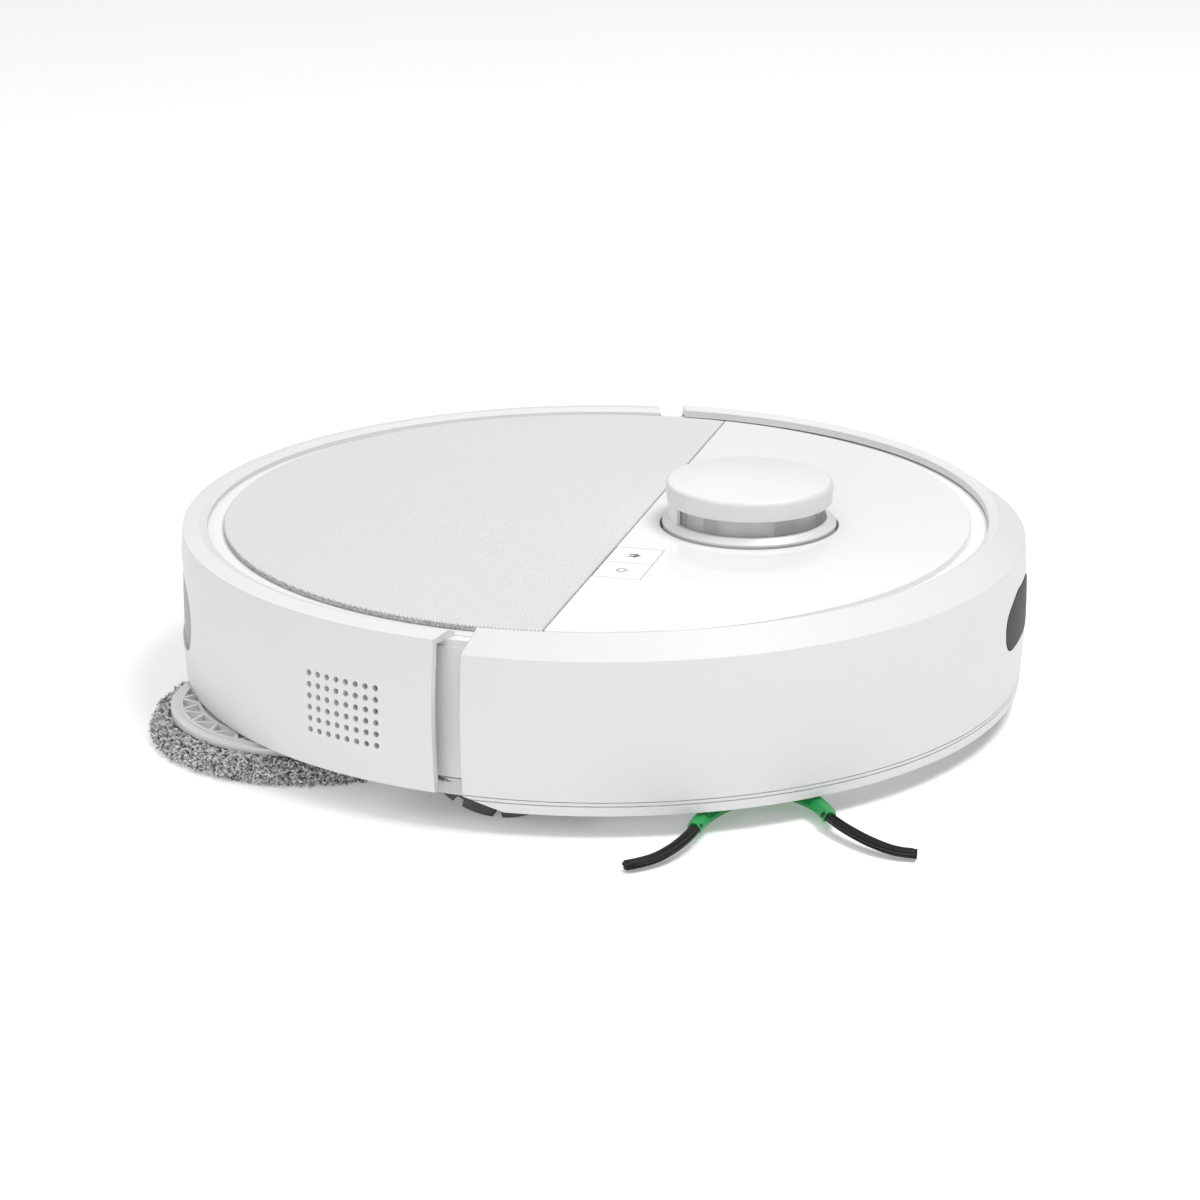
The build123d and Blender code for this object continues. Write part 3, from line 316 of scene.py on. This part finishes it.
def add_tube(verts, faces, path, radii, sides):
    """Appends a closed tube that follows the points of path."""
    start = len(verts)
    normal = None
    for i, (point, radius) in enumerate(zip(path, radii)):
        ahead = path[min(i + 1, len(path) - 1)] - path[max(i - 1, 0)]
        direction = ahead.normalized()
        if normal is None:
            normal = direction.orthogonal().normalized()
        normal = (normal - direction * normal.dot(direction)).normalized()
        side = direction.cross(normal)
        for k in range(sides):
            angle = 2 * math.pi * k / sides
            verts.append(point + (normal * math.cos(angle) + side * math.sin(angle)) * radius)
    for i in range(len(path) - 1):
        for k in range(sides):
            a, b = start + i * sides + k, start + i * sides + (k + 1) % sides
            faces.append((a, b, b + sides, a + sides))
    faces.append(tuple(range(start + sides - 1, start - 1, -1)))
    last = start + (len(path) - 1) * sides
    faces.append(tuple(range(last, last + sides)))


def lathe(profile, count):
    """Vertices and faces of (radius, z) points spun about the vertical axis, with both ends capped."""
    verts, faces = [], []
    for radius, z in profile:
        for k in range(count):
            angle = 2 * math.pi * k / count
            verts.append(Vector((radius * math.cos(angle), radius * math.sin(angle), z)))
    for i in range(len(profile) - 1):
        for k in range(count):
            a, b = i * count + k, i * count + (k + 1) % count
            faces.append((a, b, b + count, a + count))
    faces.append(tuple(range(count - 1, -1, -1)))
    last = (len(profile) - 1) * count
    faces.append(tuple(range(last, last + count)))
    return verts, faces


# ---------------------------------------------------------------- mop pads
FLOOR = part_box("left_tyre")[0].z
# Radius and height of the pad's skirt, in millimetres, from its underside to its top.
PILE_BODY = [(56, -8.2), (61.5, -8.2), (63.6, -7.0), (64.2, -5.0),
             (63.0, -2.6), (60.6, -0.6), (57.5, 0.5), (50, 0.7)]
SIDE_TUFTS = 6200
UNDER_TUFTS = 4200
TUFT_TOP = 1.2


def pile_tufts():
    """Short curly tufts over the skirt and the underside of one pad, about its own centre, in millimetres."""
    verts, faces = [], []

    def tuft(root, normal, length, radius, flat):
        path = [root - normal * 0.5]
        direction = normal.copy()
        for _ in range(4):
            jitter = Vector((RNG.gauss(0, 1), RNG.gauss(0, 1), RNG.gauss(0, flat)))
            direction = (direction + jitter * 0.65).normalized()
            point = path[-1] + direction * length / 4
            point.z = min(max(point.z, FLOOR / MM + radius + 0.05), TUFT_TOP)
            path.append(point)
        shape = (0.8, 1.1, 1.15, 1.0, 0.55)
        add_tube(verts, faces, path, [radius * s for s in shape], 4)

    for _ in range(SIDE_TUFTS):
        along = RNG.random()
        place = along * (len(PILE_BODY) - 4) + 1.4
        i = int(place)
        t = place - i
        (r0, z0), (r1, z1) = PILE_BODY[i], PILE_BODY[i + 1]
        radius, z = r0 + (r1 - r0) * t, z0 + (z1 - z0) * t
        angle = RNG.uniform(0, 2 * math.pi)
        normal = Vector(((z1 - z0), 0, -(r1 - r0))).normalized()
        normal.rotate(Matrix.Rotation(angle, 3, "Z"))
        root = Vector((radius * math.cos(angle), radius * math.sin(angle), z))
        tuft(root, normal, RNG.uniform(3.0, 5.2), RNG.uniform(0.38, 0.62), 0.8)
    for _ in range(UNDER_TUFTS):
        radius = 61.5 * math.sqrt(RNG.random())
        angle = RNG.uniform(0, 2 * math.pi)
        root = Vector((radius * math.cos(angle), radius * math.sin(angle), -8.1))
        tuft(root, Vector((0, 0, -1)), RNG.uniform(2.6, 4.2), RNG.uniform(0.4, 0.6), 0.15)
    return verts, faces


def mop_pad(side, tufts):
    """One shaggy pad: a turned backing with the tufts on it, in place of the plain CAD pad."""
    node, body = side + "_mop_pad", side + "_mop"
    low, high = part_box(node)
    centre = Vector(((low.x + high.x) / 2, (low.y + high.y) / 2, 0))
    place = Matrix.Translation(centre) @ Matrix.Scale(MM, 4)
    verts, faces = lathe([(0.5, -8.2), *PILE_BODY, (0.5, 0.8)], 96)
    verts = [place @ v for v in verts]
    backing = make_piece(body + "_backing", verts, faces, "pile_under", body)
    verts, faces = tufts
    pile = make_piece(body + "_pile", [place @ v for v in verts], faces, "pile", body)
    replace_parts(pile, node)
    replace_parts(backing, node)


shared_tufts = pile_tufts()
for side in ("left", "right"):
    mop_pad(side, shared_tufts)


# ---------------------------------------------------------------- side brush tufts
# Where the middle of each tuft runs in plan, and its heights, in millimetres.
TUFT_LINES = {
    "side_brush_tuft_right": [
        (78.4, -160.5), (77.4, -169.0), (74.0, -180.0), (68.4, -189.5), (58.4, -198.6)],
    "side_brush_tuft_front": [
        (122.6, -137.6), (131.8, -147.4), (143.0, -155.4), (153.0, -159.0), (162.6, -158.6)],
}
TUFT_HEIGHTS = [-3.0, -3.7, -4.9, -6.0, -6.5]
STRANDS = 150
STRAND_RADIUS = 0.17
STRAND_POINTS = 26


def smooth_line(points, count):
    """Points on a Catmull-Rom curve through the given points."""
    padded = [points[0] * 2 - points[1], *points, points[-1] * 2 - points[-2]]
    line = []
    for i in range(count):
        place = i / (count - 1) * (len(points) - 1)
        k = min(int(place), len(points) - 2)
        t = place - k
        a, b, c, d = padded[k:k + 4]
        line.append(0.5 * (2 * b + (c - a) * t + (2 * a - 5 * b + 4 * c - d) * t ** 2
                           + (3 * b - a - 3 * c + d) * t ** 3))
    return line


def bristle_tuft(name, plan):
    """A bundle of separate bent strands, a little ragged at the tip."""
    points = [Vector((x, y, z)) for (x, y), z in zip(plan, TUFT_HEIGHTS)]
    middle_line = smooth_line(points, STRAND_POINTS)
    verts, faces = [], []
    for _ in range(STRANDS):
        spread = math.sqrt(RNG.random())
        angle = RNG.uniform(0, 2 * math.pi)
        across, rise = spread * math.cos(angle), spread * math.sin(angle)
        twist = RNG.uniform(-0.35, 0.35)
        reach = RNG.uniform(0.93, 1.0)
        line = middle_line[:max(20, int(STRAND_POINTS * reach))]
        path = []
        for i, point in enumerate(line):
            t = i / (STRAND_POINTS - 1)
            ahead = (line[min(i + 1, len(line) - 1)] - line[max(i - 1, 0)]).normalized()
            side = Vector((-ahead.y, ahead.x, 0)).normalized()
            width, height = 2.35 + 0.35 * t, 1.3 + 0.4 * t
            wave = twist * math.sin(math.pi * t)
            placed = point + side * (across * width + wave) + Vector((0, 0, rise * height))
            placed.z = max(placed.z, FLOOR / MM + 0.25)
            path.append(placed * MM)
        add_tube(verts, faces, path, [STRAND_RADIUS * MM] * len(path), 3)
    return make_piece(name, verts, faces, "bristle", "side_brush")


for tuft_name, plan in TUFT_LINES.items():
    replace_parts(bristle_tuft(tuft_name, plan), "side_brush_bristles")


# ---------------------------------------------------------------- key icons
ICON_BOTTOM, ICON_TOP = -0.03, 0.05


def flat_icon(name, outlines, node):
    """Thin raised marks made of closed plan outlines, in millimetres about the key's middle."""
    low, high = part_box(node)
    middle_x, middle_y = (low.x + high.x) / 2, (low.y + high.y) / 2
    verts, faces = [], []
    for outline in outlines:
        start = len(verts)
        count = len(outline)
        for z in (ICON_BOTTOM, ICON_TOP):
            verts += [Vector((middle_x + x * MM, middle_y + y * MM, high.z + z * MM)) for x, y in outline]
        faces.append(tuple(range(start + count, start + 2 * count)))
        faces.append(tuple(range(start + count - 1, start - 1, -1)))
        for i in range(count):
            j = (i + 1) % count
            faces.append((start + i, start + j, start + count + j, start + count + i))
    make_piece(name, verts, faces, "icon_grey", node, smooth=False)


def arc_band(inside, outside, start, end, count):
    """Four-cornered outlines side by side along part of a ring."""
    angles = [math.radians(start + (end - start) * i / count) for i in range(count + 1)]
    outer = [(outside * math.cos(a), outside * math.sin(a)) for a in angles]
    inner = [(inside * math.cos(a), inside * math.sin(a)) for a in reversed(angles)]
    return [outer[i:i + 2] + inner[count - 1 - i:count + 1 - i] for i in range(count)]


def plan_box(x0, x1, y0, y1):
    return [(x0, y0), (x1, y0), (x1, y1), (x0, y1)]


ROOF = [(2.6, 0), (0.2, 2.7), (0.2, 1.7), (-0.2, 1.7), (-0.2, -1.7), (0.2, -1.7), (0.2, -2.7)]
flat_icon("home_mark", [ROOF, plan_box(-2.3, -0.2, 0.6, 1.7), plan_box(-2.3, -0.2, -1.7, -0.6)], "home_key")
flat_icon("start_mark", [*arc_band(1.75, 2.25, 40, 320, 20), plan_box(0.6, 2.6, -0.25, 0.25)], "clean_key")


# ---------------------------------------------------------------- studio
CAMERA_PLACE = (0.3356, -1.2721, 0.4633)
CAMERA_LOOK = (-0.2432, 0.9176, -0.3146)
CAMERA_LENS, CAMERA_SENSOR = 98.93, 36.0
SCREEN_RIGHT = (0.966, 0.256, 0.0)
# Axis, start and end of the fade along it, brightness before and after.
WORLD_FADES = [
    ((-0.0029, 0.3081, -0.9514), -0.003, 0.003, 1.0, 0.42),
    (SCREEN_RIGHT, 0.0, 0.65, 1.0, 0.0),
    (tuple(-c for c in SCREEN_RIGHT), 0.50, 0.95, 1.0, 0.12),
]
FLOOR_GLOW = 0.22
FLOOR_HALF = 12.0
FLOOR_TONES = [(0.3, (0.93, 0.93, 0.93)), (0.7, (0.94, 0.94, 0.94))]


def studio_world():
    """A white room, dimmer towards both sides and below a straight line behind the object."""
    world = bpy.data.worlds.new("studio")
    bpy.context.scene.world = world
    world.use_nodes = True
    tree = world.node_tree
    direction = tree.nodes.new("ShaderNodeTexCoord").outputs["Generated"]

    def faded(axis, near, far, low, high):
        dot = tree.nodes.new("ShaderNodeVectorMath")
        dot.operation = "DOT_PRODUCT"
        tree.links.new(direction, dot.inputs[0])
        dot.inputs[1].default_value = axis
        fade = tree.nodes.new("ShaderNodeMapRange")
        for key, value in {"From Min": near, "From Max": far, "To Min": low, "To Max": high}.items():
            fade.inputs[key].default_value = value
        tree.links.new(dot.outputs["Value"], fade.inputs["Value"])
        return fade.outputs["Result"]

    strength = None
    for term in WORLD_FADES:
        value = faded(*term)
        if strength is None:
            strength = value
            continue
        product = tree.nodes.new("ShaderNodeMath")
        product.operation = "MULTIPLY"
        tree.links.new(strength, product.inputs[0])
        tree.links.new(value, product.inputs[1])
        strength = product.outputs[0]
    background = tree.nodes["Background"]
    background.inputs["Color"].default_value = (1, 1, 1, 1)
    tree.links.new(strength, background.inputs["Strength"])


def area_light(name, direction, distance, size, power):
    light = bpy.data.lights.new(name, "AREA")
    light.shape = "DISK"
    light.size = size
    light.energy = power
    holder = bpy.data.objects.new(name, light)
    direction = Vector(direction).normalized()
    holder.location = direction * distance
    holder.rotation_mode = "QUATERNION"
    holder.rotation_quaternion = direction.to_track_quat("Z", "Y")
    bpy.context.scene.collection.objects.link(holder)


def floor_plane():
    mesh = bpy.data.meshes.new("studio_floor")
    corners = plan_box(-FLOOR_HALF, FLOOR_HALF, -FLOOR_HALF, FLOOR_HALF)
    mesh.from_pydata([(x, y, FLOOR) for x, y in corners], [], [(0, 1, 2, 3)])
    plane = bpy.data.objects.new("studio_floor", mesh)
    bpy.context.scene.collection.objects.link(plane)
    g = Graph("floor_white")
    g.set(Base_Color=g.ramp(g.noise(3, 3), FLOOR_TONES), Roughness=0.9)
    g.set(Specular_IOR_Level=0.1, Emission_Color=(1, 1, 1, 1), Emission_Strength=FLOOR_GLOW)
    mesh.materials.append(g.material)


def studio_camera():
    camera = bpy.data.cameras.new("camera")
    camera.lens = CAMERA_LENS
    camera.sensor_width = CAMERA_SENSOR
    camera.clip_end = 50.0
    holder = bpy.data.objects.new("camera", camera)
    holder.location = CAMERA_PLACE
    holder.rotation_mode = "QUATERNION"
    holder.rotation_quaternion = Vector(CAMERA_LOOK).to_track_quat("-Z", "Y")
    bpy.context.scene.collection.objects.link(holder)
    bpy.context.scene.camera = holder


studio_world()
area_light("key", (0.42, -0.06, 1.0), 2.2, 1.0, 30.0)
area_light("left_front", (-0.64, -0.77, 0.40), 2.4, 1.2, 1.2)
floor_plane()
studio_camera()
bpy.context.scene.view_settings.view_transform = "Standard"
